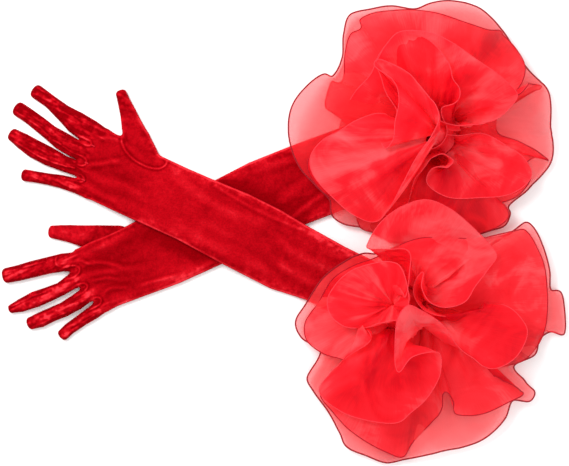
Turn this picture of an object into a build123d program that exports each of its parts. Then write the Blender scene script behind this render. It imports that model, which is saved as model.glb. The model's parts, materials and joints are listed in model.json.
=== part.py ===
"""A pair of long stretch-velvet opera gloves with organza ruffles, laid crossed on a flat surface.

The left glove lies underneath with its palm down. The right glove lies over it with its palm up, and
its sleeve rides over the left sleeve in a low ridge. Each glove is drawn flat in its own frame, with x
running from the crossing towards the mouth of the sleeve, y towards the thumb and z up, and is then
turned to its heading. Lengths are in millimetres.
"""
import math
import os

from build123d import *

# Cloth
CLOTH = 1.2  # one layer of velvet, pile included
SIDE_WALL = 1.6  # the rolled side of a panel
ORGANZA = 1.0  # a ruffle tier, as thick as its gathers pack

# Thickness of the parts as they lie, both layers and the air between them
SLEEVE_THICK = 9.0
FINGER_THICK = 8.0
JOINT_GAP = 0.6  # left open between a stall and the hand

# The ridge where the right sleeve crosses over the left one
RIDGE_RISE = 9.6
RIDGE_TOP = 43.0  # half width of its flat top
RIDGE_FOOT = 78.0  # half width where it meets the surface again

# The mouth of the sleeve and what is sewn round it
MOUTH_RADIUS = 22.8
BAND_WALL = 1.6
BAND_TOP = 30.0
ELASTIC_WALL = 1.0
ELASTIC_SPAN = (17.0, 28.0)
TAPE_WALL = 1.0
TAPE_SPAN = (12.0, 27.0)
SEWN_GAP = 0.1  # between round faces that are sewn together
STITCH_COUNT = 20
STITCH_SIZE = (1.6, 2.4, 0.8)
TACK_SIZE = (4.0, 1.4, 0.8)
TACK_SETBACK = 9.0  # from the finger roots back into the hand

# Radius and height of the middle line of each tier, from the tape outwards. A glove's "reach" is the
# radius of its lower tier, in equal turns from the sleeve's own direction.
LOWER_TIER = [(26.2, 20.0), (34.0, 15.0), (52.0, 12.0), (185.0, 11.0)]
UPPER_TIER = [(26.3, 24.5), (33.0, 44.0), (46.0, 62.0), (70.0, 76.0), (115.0, 82.0)]
UPPER_SHARE = 0.62  # the upper tier's reach, as a share of the lower one's

FAR = 420.0  # past everything
TALL = 60.0

# Each finger: middle of its root, its tip, and its half widths at the two ends
LEFT = {
    "name": "left",
    "heading": 23.0,
    "palm_up": False,
    "ridge": 0.0,
    "fingers": {
        "index": ((-155.9, 21.6), (-231.4, 36.5), 9.6, 7.6),
        "middle": ((-158.9, 2.3), (-239.8, 2.0), 8.6, 7.4),
        "ring": ((-155.7, -16.4), (-228.1, -20.6), 8.4, 7.0),
        "little": ((-149.6, -34.2), (-200.3, -49.5), 8.0, 6.6),
    },
    "thumb": ((-133.0, 43.5), (-170.5, 61.5), 8.6, 7.0),
    "thumb_base": [(-80.0, 36.0), (-94.0, 37.0), (-116.0, 45.5)],
    "thumb_crook": (-139.0, 33.5),
    "gusset": [(-138.0, 35.5), (-126.0, 24.0), (-108.0, 19.0), (-90.0, 21.0), (-80.0, 28.0), (-79.0, 36.5)],
    "outer_edge": [(-144.0, -39.5), (-97.0, -38.6), (-20.0, -41.0), (100.0, -40.0), (200.0, -37.0)],
    "thumb_edge": [(200.0, 36.0), (100.0, 41.0), (0.0, 40.0)],
    "mouth": (240.0, -2.0),
    "reach": [132, 128, 138, 136, 140, 128, 138, 145, 134, 125, 92, 86, 100, 116, 118, 125],
}
RIGHT = {
    "name": "right",
    "heading": -25.2,
    "palm_up": True,
    "ridge": RIDGE_RISE,
    "fingers": {
        "index": ((-160.5, 27.8), (-236.7, 42.4), 9.4, 7.6),
        "middle": ((-162.0, 7.6), (-246.0, 16.3), 9.2, 7.6),
        "ring": ((-157.5, -12.0), (-239.7, -12.8), 8.8, 7.2),
        "little": ((-151.5, -30.2), (-209.0, -47.0), 8.2, 6.8),
    },
    "thumb": ((-122.5, 48.5), (-152.5, 82.5), 10.4, 8.0),
    "thumb_base": [(-82.0, 37.4), (-100.0, 48.0)],
    "thumb_crook": (-132.0, 38.0),
    "gusset": [(-131.5, 38.2), (-127.0, 33.0), (-116.6, 25.4), (-100.0, 20.8), (-84.4, 23.0), (-76.3, 28.0),
               (-80.0, 38.0)],
    "outer_edge": [(-144.0, -38.4), (-82.0, -36.8), (20.0, -38.8), (110.0, -36.0), (170.0, -34.0)],
    "thumb_edge": [(170.0, 34.0), (110.0, 35.5), (0.0, 38.0)],
    "mouth": (204.5, 0.0),
    "reach": [150, 170, 163, 110, 94, 85, 72, 72, 84, 95, 99, 120, 138, 162, 162, 164],
}


def direction(start, end):
    """The angle in degrees of the way from one point to another."""
    return math.degrees(math.atan2(end[1] - start[1], end[0] - start[0]))


def at_root(stall):
    """The frame of a stall: its middle line runs along x from the root."""
    root, tip = stall[:2]
    return Pos(*root, 0) * Rot(0, 0, direction(root, tip))


def in_plan(stall, along, across):
    """Where a point of a stall's own frame lies in the glove's frame."""
    root, tip = stall[:2]
    turn = math.radians(direction(root, tip))
    return (
        root[0] + along * math.cos(turn) - across * math.sin(turn),
        root[1] + along * math.sin(turn) + across * math.cos(turn),
    )


def prism(face):
    """A plan outline, made tall enough to cut anything."""
    return Pos(0, 0, -1) * extrude(face, TALL)


def slab(glove, low, high):
    """All the space between two heights above what the glove lies on."""
    rise = glove["ridge"]
    line = [(-FAR, 0), (-RIDGE_FOOT, 0), (-RIDGE_TOP, rise), (RIDGE_TOP, rise), (RIDGE_FOOT, 0), (FAR, 0)]
    if not rise:
        line = [(-FAR, 0), (FAR, 0)]
    section = [(s, z + low) for s, z in line] + [(s, z + high) for s, z in reversed(line)]
    turn = math.radians(LEFT["heading"] - RIGHT["heading"])
    across_left_sleeve = Plane(
        origin=(0, 0, 0),
        x_dir=(-math.sin(turn), math.cos(turn), 0),
        z_dir=(math.cos(turn), math.sin(turn), 0),
    )
    return extrude(across_left_sleeve * Polygon(*section, align=None), FAR, both=True)


def hand_and_sleeve(glove):
    """The plan outline of a glove without its stalls."""
    mouth_x, mouth_y = glove["mouth"]
    end_radius = abs(glove["outer_edge"][-1][1] - glove["thumb_edge"][0][1]) / 2
    knuckles = []
    for finger in glove["fingers"].values():
        knuckles += [in_plan(finger, -JOINT_GAP, side * finger[2]) for side in (-1, 1)]
    thumb = glove["thumb"]
    thumb_root = [in_plan(thumb, -JOINT_GAP, side * thumb[2]) for side in (-1, 1)]
    thumb_side = glove["thumb_edge"] + glove["thumb_base"] + thumb_root + [glove["thumb_crook"]]
    body = Polygon(*knuckles, *glove["outer_edge"], *thumb_side, align=None)
    return body + Pos(mouth_x, mouth_y) * Circle(end_radius) + sleeve_end(glove)


def sleeve_end(glove):
    """The straight stretch that joins the drawn edges to the round end at the mouth."""
    mouth_x, mouth_y = glove["mouth"]
    low, high = glove["outer_edge"][-1], glove["thumb_edge"][0]
    half = abs(low[1] - high[1]) / 2
    return Polygon(low, (mouth_x, mouth_y - half), (mouth_x, mouth_y + half), high, align=None)


def passages(glove):
    """The ways from the hand into its stalls, in plan."""
    ways = []
    for stall in [*glove["fingers"].values(), glove["thumb"]]:
        way = Rectangle(3 * SIDE_WALL, 2 * (stall[2] - SIDE_WALL))
        ways.append(at_root(stall) * Pos(-JOINT_GAP - SIDE_WALL, 0) * way)
    return Sketch() + ways


def panels(glove):
    """The two velvet panels and the thumb gusset that is set into the palm."""
    outline = hand_and_sleeve(glove)
    hollow = offset(outline, -SIDE_WALL, kind=Kind.ARC) + passages(glove)
    under = prism(outline) & slab(glove, 0, SLEEVE_THICK - CLOTH)
    under -= prism(hollow) & slab(glove, CLOTH, SLEEVE_THICK)
    over = prism(outline) & slab(glove, SLEEVE_THICK - CLOTH, SLEEVE_THICK)
    over -= Pos(*glove["mouth"], 0) * Cylinder(MOUTH_RADIUS, TALL)

    if glove["palm_up"]:
        gusset_shape = Polygon(*glove["gusset"], align=None) + thumb_root_shape(glove)
        gusset_prism = prism(gusset_shape & outline)
        gusset = gusset_prism & over
        over -= gusset_prism
        return {"back_panel": under, "palm_panel": over, "thumb_gusset": gusset}
    gusset_prism = prism(Polygon(*glove["gusset"], align=None) & hollow)
    gusset = gusset_prism & slab(glove, 0, CLOTH)
    under -= gusset
    return {"palm_panel": under, "back_panel": over, "thumb_gusset": gusset}


def thumb_root_shape(glove):
    """The part of the hand's outline that the thumb grows out of, in plan."""
    thumb = glove["thumb"]
    root = [in_plan(thumb, -JOINT_GAP, side * thumb[2]) for side in (-1, 1)]
    return Polygon(*glove["thumb_base"], *root, glove["thumb_crook"], align=None)


def stall_shape(stall, inset=0.0):
    """The plan outline of a stall in its own frame, or of the hollow in it."""
    root, tip, root_half, tip_half = stall
    length = math.dist(root, tip) - inset
    start = -inset
    shoulder = length - tip_half
    edge = Polyline((shoulder, tip_half - inset), (start, root_half - inset),
                    (start, inset - root_half), (shoulder, inset - tip_half))
    return make_face(edge + ThreePointArc((shoulder, inset - tip_half), (length, 0), (shoulder, tip_half - inset)))


def layer(face, low, high):
    """A flat piece between two heights."""
    return Pos(0, 0, low) * extrude(face, high - low)


def stall_pieces(glove, name, stall, sewn_sides):
    """The strips and fourchettes of one stall. sewn_sides are the sides where a fourchette is set in."""
    length = math.dist(*stall[:2])
    wall = stall_shape(stall) - stall_shape(stall, SIDE_WALL)
    tip_start = length - 1.6 * stall[3]
    sides = {-1: Rectangle(tip_start, 30, align=(Align.MIN, Align.MAX)),
             1: Rectangle(tip_start, 30, align=(Align.MIN, Align.MIN))}
    folded = wall
    pieces = {}
    for side in sewn_sides:
        toward = "thumb" if side < 0 else "outer"
        pieces[f"{name}_{toward}_side_fourchette"] = layer(wall & sides[side], CLOTH, FINGER_THICK - CLOTH)
        folded -= sides[side]
    under = layer(stall_shape(stall), 0, CLOTH) + layer(folded, CLOTH, FINGER_THICK - CLOTH)
    over = layer(stall_shape(stall), FINGER_THICK - CLOTH, FINGER_THICK)
    names = ("back_strip", "palm_strip") if glove["palm_up"] else ("palm_strip", "back_strip")
    pieces[f"{name}_{names[0]}"] = under
    pieces[f"{name}_{names[1]}"] = over
    return {key: at_root(stall) * piece for key, piece in pieces.items()}


def ring(inner, outer, low, high):
    """A round band."""
    return Pos(0, 0, low) * extrude(Circle(outer) - Circle(inner), high - low)


def mouth_pieces():
    """The hem band, its elastic, the gathering tape and its stitches, about the mouth's axis."""
    band_outer = MOUTH_RADIUS + BAND_WALL
    tape_inner = band_outer + SEWN_GAP
    elastic_outer = MOUTH_RADIUS - SEWN_GAP
    stitch = Box(*STITCH_SIZE, align=(Align.MIN, Align.CENTER, Align.CENTER))
    stitch_radius = tape_inner + TAPE_WALL + SEWN_GAP
    stitch_height = TAPE_SPAN[0] + 2
    stitches = [Rot(0, 0, 360 * k / STITCH_COUNT) * Pos(stitch_radius, 0, stitch_height) * stitch
                for k in range(STITCH_COUNT)]
    return {
        "hem_band": ring(MOUTH_RADIUS, band_outer, SLEEVE_THICK, BAND_TOP),
        "mouth_elastic": ring(elastic_outer - ELASTIC_WALL, elastic_outer, *ELASTIC_SPAN),
        "gathering_tape": ring(tape_inner, tape_inner + TAPE_WALL, *TAPE_SPAN),
        "gathering_stitches": Compound(stitches),
    }


def tier(line, reach):
    """One gathered tier: a round shell about the mouth, cut to its lobed edge."""
    outer, inner = [], []
    for k, (radius, height) in enumerate(line):
        before, after = line[max(k - 1, 0)], line[min(k + 1, len(line) - 1)]
        slope = math.atan2(after[1] - before[1], after[0] - before[0])
        step = (-math.sin(slope) * ORGANZA / 2, math.cos(slope) * ORGANZA / 2)
        outer.append((radius + step[0], height + step[1]))
        inner.append((radius - step[0], height - step[1]))
    shell = revolve(Plane.XZ * Polygon(*outer, *reversed(inner), align=None), Axis.Z)
    lobes = [(r * math.cos(2 * math.pi * k / len(reach)), r * math.sin(2 * math.pi * k / len(reach)))
             for k, r in enumerate(reach)]
    return shell & (Pos(0, 0, -1) * extrude(make_face(Spline(*lobes, periodic=True)), 2 * TALL))


def crotch_tacks(glove):
    """The small thread tacks inside the palm, one between each two fingers."""
    fingers = list(glove["fingers"].values())
    height = SLEEVE_THICK - CLOTH - TACK_SIZE[2] / 2 if glove["palm_up"] else CLOTH + TACK_SIZE[2] / 2
    tacks = []
    for one, two in zip(fingers, fingers[1:]):
        here, there = in_plan(one, -TACK_SETBACK, one[2]), in_plan(two, -TACK_SETBACK, -two[2])
        middle = ((here[0] + there[0]) / 2, (here[1] + there[1]) / 2)
        tacks.append(Pos(*middle, height) * Box(*TACK_SIZE))
    return Compound(tacks)


def build_glove(glove):
    """Every piece of one glove, turned to its heading, by node name."""
    pieces = panels(glove)
    sewn = {"index": (1,), "middle": (-1, 1), "ring": (-1, 1), "little": (-1,)}
    for name, finger in glove["fingers"].items():
        pieces.update(stall_pieces(glove, name, finger, sewn[name]))
    pieces.update(stall_pieces(glove, "thumb", glove["thumb"], ()))
    pieces["crotch_tacks"] = crotch_tacks(glove)
    at_mouth = Pos(*glove["mouth"], 0)
    for name, piece in mouth_pieces().items():
        pieces[name] = at_mouth * piece
    pieces["lower_ruffle"] = at_mouth * tier(LOWER_TIER, glove["reach"])
    pieces["upper_ruffle"] = at_mouth * tier(UPPER_TIER, [UPPER_SHARE * r for r in glove["reach"]])
    turn = Rot(0, 0, glove["heading"])
    return {f"{glove['name']}_{key}": turn * piece for key, piece in pieces.items()}


parts = {**build_glove(LEFT), **build_glove(RIGHT)}
boxes = [piece.bounding_box() for piece in parts.values()]
low = [min(tuple(box.min)[k] for box in boxes) for k in range(3)]
high = [max(tuple(box.max)[k] for box in boxes) for k in range(3)]
centre = Pos(-(low[0] + high[0]) / 2, -(low[1] + high[1]) / 2, -low[2])

os.makedirs("parts", exist_ok=True)
for node, piece in parts.items():
    export_step(centre * piece, f"parts/{node}.step")
print("nodes", len(parts))
print("size", [round(high[k] - low[k], 1) for k in range(3)])
print("crossing point", [round(v, 2) for v in centre.position])
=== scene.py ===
"""Looks for a pair of velvet opera gloves with organza ruffles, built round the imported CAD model.

Each glove is drawn in its own flat frame, in millimetres: x runs from the crossing towards the mouth of
the sleeve, y towards the thumb and z up. to_row() turns that into metres in the frame of the model.
"""
import json
import math

import bpy
import numpy as np
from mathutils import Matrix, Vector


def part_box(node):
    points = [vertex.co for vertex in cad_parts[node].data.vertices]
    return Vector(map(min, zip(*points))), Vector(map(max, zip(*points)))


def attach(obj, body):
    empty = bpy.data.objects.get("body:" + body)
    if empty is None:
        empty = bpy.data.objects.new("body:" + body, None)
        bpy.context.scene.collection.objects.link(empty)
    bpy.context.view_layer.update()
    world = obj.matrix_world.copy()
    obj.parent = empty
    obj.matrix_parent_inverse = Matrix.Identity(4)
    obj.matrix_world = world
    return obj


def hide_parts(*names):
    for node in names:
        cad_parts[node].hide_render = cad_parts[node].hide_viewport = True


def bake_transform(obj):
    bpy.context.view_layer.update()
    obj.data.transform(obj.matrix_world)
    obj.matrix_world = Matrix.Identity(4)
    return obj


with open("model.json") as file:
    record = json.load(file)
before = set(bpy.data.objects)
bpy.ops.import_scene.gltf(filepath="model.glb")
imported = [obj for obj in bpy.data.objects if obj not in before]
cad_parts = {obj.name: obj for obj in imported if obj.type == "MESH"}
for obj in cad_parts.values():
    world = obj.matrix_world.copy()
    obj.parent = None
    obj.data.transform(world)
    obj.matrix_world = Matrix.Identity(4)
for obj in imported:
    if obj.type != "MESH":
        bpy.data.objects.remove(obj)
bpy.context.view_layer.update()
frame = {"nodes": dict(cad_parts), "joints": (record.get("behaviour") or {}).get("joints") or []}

MM = 0.001
SEED = 7
GRID = 0.9  # spacing of the glove meshes
GLOVE_SPAN = (-250, -56), (282, 92)  # the area in which a glove lies
LEFT_THUMB_SPAN = (-176, 4), (-84, 72)

RUFFLE_ROWS = 44  # rows of points from the tape to the hem
HEM_STEP = 1.7  # spacing of the points along a hem line
HEM_SIDES = 6  # sides of the tube that a rolled hem is
HEM_RADIUS = {"lower": 0.8, "middle": 0.6}  # the outer rolled hems; the inner ones are finer
INNER_HEM = 0.42
BAND_STEPS = 160  # points round the hem band
SOFT_GAP = 5.0  # organza that would come nearer to the velvet than this is bent away from it

# ---------------------------------------------------------------- the two gloves, as given numbers

SLEEVE_THICK = 6.6
FINGER_THICK = 7.6
EDGE_HEIGHT = 2.0  # how high the side seam lies over the surface
EDGE_ROUND = 7.0  # how far in from its edge the cloth is fully raised
FINGER_ROUND = 0.96  # the same for a finger, as a share of its half width
TIP_CUT = 0.18  # how much of the round end of a finger is cut off, as a share of its radius
TIP_BLEND = 4.0  # how softly the corners of a fingertip are rounded
CROTCH_BLEND = 5.0  # how softly the fingers and the thumb run into the hand
CROSS_LIFT = 7.2  # how far the right sleeve rises over the left one
CROSS_TOP, CROSS_END = 40, 104  # how far from the left sleeve's axis it starts to fall, and lies flat
THUMB_LIFT = 3.6  # how far the left hand rises over its thumb
OFF_TABLE = 0.2  # how far the underside lies over the table
MOUTH_REACH = 36  # radius of the sleeve's end round the middle of its mouth
MOUTH_HOLE = 20  # radius of the opening below the hem band
PAST_ROOT = 0.0003  # in metres, how far in front of its joint a finger's own piece starts
UNDERSIDE_TONE = 0.3  # how much of the upper side's tone the underside has

LEFT = {
    "name": "left",
    "heading": 23.0,
    "mouth": (240.0, -2.0),
    "fingers": {
        "index": [(-224, 34.8, 8.0), (-214, 32.8, 8.3), (-199, 30.7, 8.8), (-183, 28.1, 8.8),
                  (-167, 24.8, 9.6), (-150, 19, 10)],
        "middle": [(-235, 1.2, 4.6), (-225, 0.5, 7.0), (-209, 0.5, 8.6), (-194, 0, 7.9), (-180, 0, 7.2),
                   (-165, 2.8, 8.4), (-150, 4, 9)],
        "ring": [(-221, -20.8, 6.6), (-212, -21.4, 8.0), (-199, -20.9, 7.6), (-185, -21, 7.9),
                 (-170, -19, 8.6), (-157, -16, 8.4), (-145, -12, 9)],
        "little": [(-195, -44.5, 6.2), (-188, -41.8, 6.3), (-172, -38.4, 6.6), (-157, -35.6, 7.4),
                   (-140, -31, 8)],
    },
    "thumb": [(-163, 57.8, 6.8), (-157, 54.6, 8.0), (-148, 49.5, 9.3), (-138, 43, 11.0), (-124, 35, 13.0),
              (-104, 24, 15.0)],
    "outline": [(-150, 32), (-131, 33.5), (-111, 33), (-91, 34), (-40, 38.5), (14, 42), (54, 45), (99, 44),
                (180, 40), (240, 36), (240, -40), (180, -40), (113, -39), (84, -38), (-18, -42), (-63, -43),
                (-103, -41), (-130, -39.8), (-144, -39), (-152, -27), (-160, -6), (-163, 12)],
}
RIGHT = {
    "name": "right",
    "heading": -25.2,
    "mouth": (204.5, 0.0),
    "fingers": {
        "index": [(-229, 42.0, 7.6), (-214, 39.2, 7.2), (-196, 34.3, 9.0), (-180, 30.8, 12.0),
                  (-163, 28.2, 13.0), (-148, 26, 12.4)],
        "middle": [(-238, 17.4, 7.8), (-227, 15.8, 7.7), (-213, 12.8, 8.1), (-200, 9.6, 8.3),
                   (-185, 7.0, 9.9), (-171, 5.8, 10.0), (-150, 6, 10)],
        "ring": [(-232, -9.4, 7.0), (-222, -10.8, 8.7), (-208, -12.8, 9.9), (-191, -13.5, 10.0),
                 (-173, -13.6, 8.4), (-158, -12, 8.2), (-145, -11, 9)],
        "little": [(-203, -41.6, 6.3), (-195, -39.2, 6.0), (-181, -35.4, 6.1), (-168, -32.0, 7.0),
                   (-154, -29.6, 7.8), (-140, -27, 9)],
    },
    "thumb": [(-149, 77.6, 5.8), (-143.5, 71.9, 6.8), (-134, 62.4, 8.8), (-124, 51.4, 11.5),
              (-114, 41, 14.5), (-104, 30, 17)],
    "outline": [(-146, 37), (-131, 38), (-84, 37), (-52, 37), (-22, 38), (17, 40), (55, 39), (85, 36),
                (131, 33), (204, 32), (204, -33), (117, -35), (79, -40), (23, -38), (-32, -35), (-98, -36),
                (-136, -36), (-146, -34), (-152, -22), (-160, -4), (-163, 16), (-154, 28)],
}
GLOVES = {"left": LEFT, "right": RIGHT}

# Raised seams on the upper side: control points, height and half width
SEAMS = {
    "right": [
        ([(-130, 37), (-126, 31), (-118, 25), (-106, 21), (-92, 20.5), (-81, 23.5), (-76, 29), (-76, 34),
          (-83, 38)], 0.6, 1.0),
        ([(-178, 20.5), (-168, 19.6), (-161, 19.5), (-156, 18.3), (-155.5, 15.6), (-160, 13.8), (-170, 14.6),
          (-182, 16.0)], 0.6, 0.9),
        ([(-198, 3.4), (-182, 2.2), (-168, 0.8), (-157, 1.4), (-152, -1.5), (-152.5, -6), (-158, -8.4),
          (-170, -6.6), (-186, -7.4)], 0.6, 0.9),
        ([(-172, -19.4), (-161, -17.6), (-152, -16.6), (-147, -18.6), (-147, -22.4), (-152, -24.6),
          (-160, -25.6), (-172, -28)], 0.6, 0.9),
        ([(-243, 20), (-228, 18.5), (-212, 15.5), (-196, 12)], 0.45, 0.8),
        ([(-241, 14), (-226, 12.2), (-210, 9.5), (-198, 5.5), (-184, 3.4)], 0.55, 0.8),
        ([(-236, -14), (-222, -15.5), (-206, -17.4), (-190, -17.8), (-172, -15.6), (-160, -13)], 0.6, 0.8),
        ([(-234, -5), (-220, -6.0), (-204, -7.0), (-188, -7.6)], 0.45, 0.8),
        ([(-232, 47), (-214, 43.8), (-196, 39.6), (-178, 35.6)], 0.4, 0.8),
        ([(-230, 36.8), (-214, 34.5), (-198, 29.6), (-182, 22.6)], 0.45, 0.8),
        ([(-19, 33), (8, 30), (30, 28.5), (52, 28.5), (69, 29), (85, 31)], 0.3, 1.7),
    ],
    "left": [
        ([(-178, 19.5), (-170, 19), (-163, 18.6), (-156, 16.5), (-153, 12.6), (-155, 8.4), (-162, 6.2),
          (-174, 7)], 0.6, 0.9),
        ([(-171, 32), (-173.5, 27.5), (-172.5, 23), (-168, 20), (-161, 19)], 0.5, 0.9),
        ([(-182, -7), (-170, -4.2), (-160, -3), (-153.5, -5), (-153, -9), (-158, -11.6), (-170, -13.6)],
         0.6, 0.9),
        ([(-168, -26), (-158, -23.4), (-149, -22.6), (-145, -25.4), (-146.5, -29.5), (-152, -31.4),
          (-164, -32)], 0.6, 0.9),
        ([(-234, 3.4), (-222, 4.2), (-208, 4.6), (-195, 3.6)], 0.45, 0.8),
        ([(-226, -24), (-212, -25.5), (-198, -25), (-184, -25)], 0.45, 0.8),
        ([(-198, -48), (-186, -44.6), (-172, -41.4), (-158, -39)], 0.4, 0.8),
        ([(-226, 39), (-212, 37), (-198, 35.2), (-184, 33)], 0.4, 0.8),
    ],
}

# Soft folds that fan out from the crotches and lie along the sleeves: points, height, half width
FOLDS = {
    "right": [
        ([(-155, -7), (-143, -1), (-130, 8), (-116, 17)], 1.0, 2.6),
        ([(-155, 22), (-145, 29), (-129, 35)], 0.9, 2.4),
        ([(-148, -10), (-130, -12), (-104, -8), (-80, -10)], 0.6, 4.0),
        ([(-146, -22), (-126, -26), (-100, -25)], 0.5, 3.4),
        ([(-60, 24), (-30, 18), (10, 14), (50, 18)], 0.5, 5.0),
        ([(-40, -20), (0, -24), (40, -22), (80, -28)], 0.5, 5.0),
        ([(60, 10), (100, 4), (150, 8)], 0.7, 4.6),
        ([(70, -12), (110, -16), (150, -10)], 0.7, 4.6),
    ],
    "left": [
        ([(-152, 22), (-145, 16), (-138, 8)], 1.1, 1.6),
        ([(-150, 14), (-137, 12), (-123, 5), (-108, -7)], 1.0, 2.2),
        ([(-150, -4), (-142, -6), (-129, -9), (-117, -16)], 1.0, 1.8),
        ([(-144, -24), (-134, -20), (-124, -22), (-112, -27)], 0.9, 2.0),
        ([(-150, 4), (-132, -1), (-114, -6), (-92, -12)], 0.6, 3.2),
        ([(-105, -29), (-85, -31), (-59, -35)], 1.0, 2.0),
        ([(-140, 27), (-118, 24), (-96, 26)], 0.6, 3.4),
        ([(60, 36), (100, 30), (150, 32)], 0.8, 4.0),
        ([(58, -30), (86, -22), (130, -12)], 1.0, 3.0),
        ([(60, -8), (100, 2), (140, 4)], 0.6, 5.0),
    ],
}

# How a strip is drawn where its own entry doesn't say
STRIP_DEFAULTS = {
    "sheer": 1,  # which organza: 0 is the paler outer one
    "about": (0, 0),  # what the gathers are spread round, seen from the middle of the mouth
    "even": 0.05,  # how far round the tape the spread of the gathers is evened out
    "pinch": 1.12,  # how the strip leaves the tape: outwards, or across the mouth where it is below 0
    "eye": (0, 0),  # how far a strip leans to one side as it leaves the tape
    "deep": 8,  # height of the folds
    "crease": 4.5,  # height of the creases between them
    "fine": 1.0,  # how strong the fine gathers are
    "shade": 0.34,  # how much painted shade darkens the cloth at the tape
    "tone": 0.42,  # how light the cloth is
}

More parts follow.
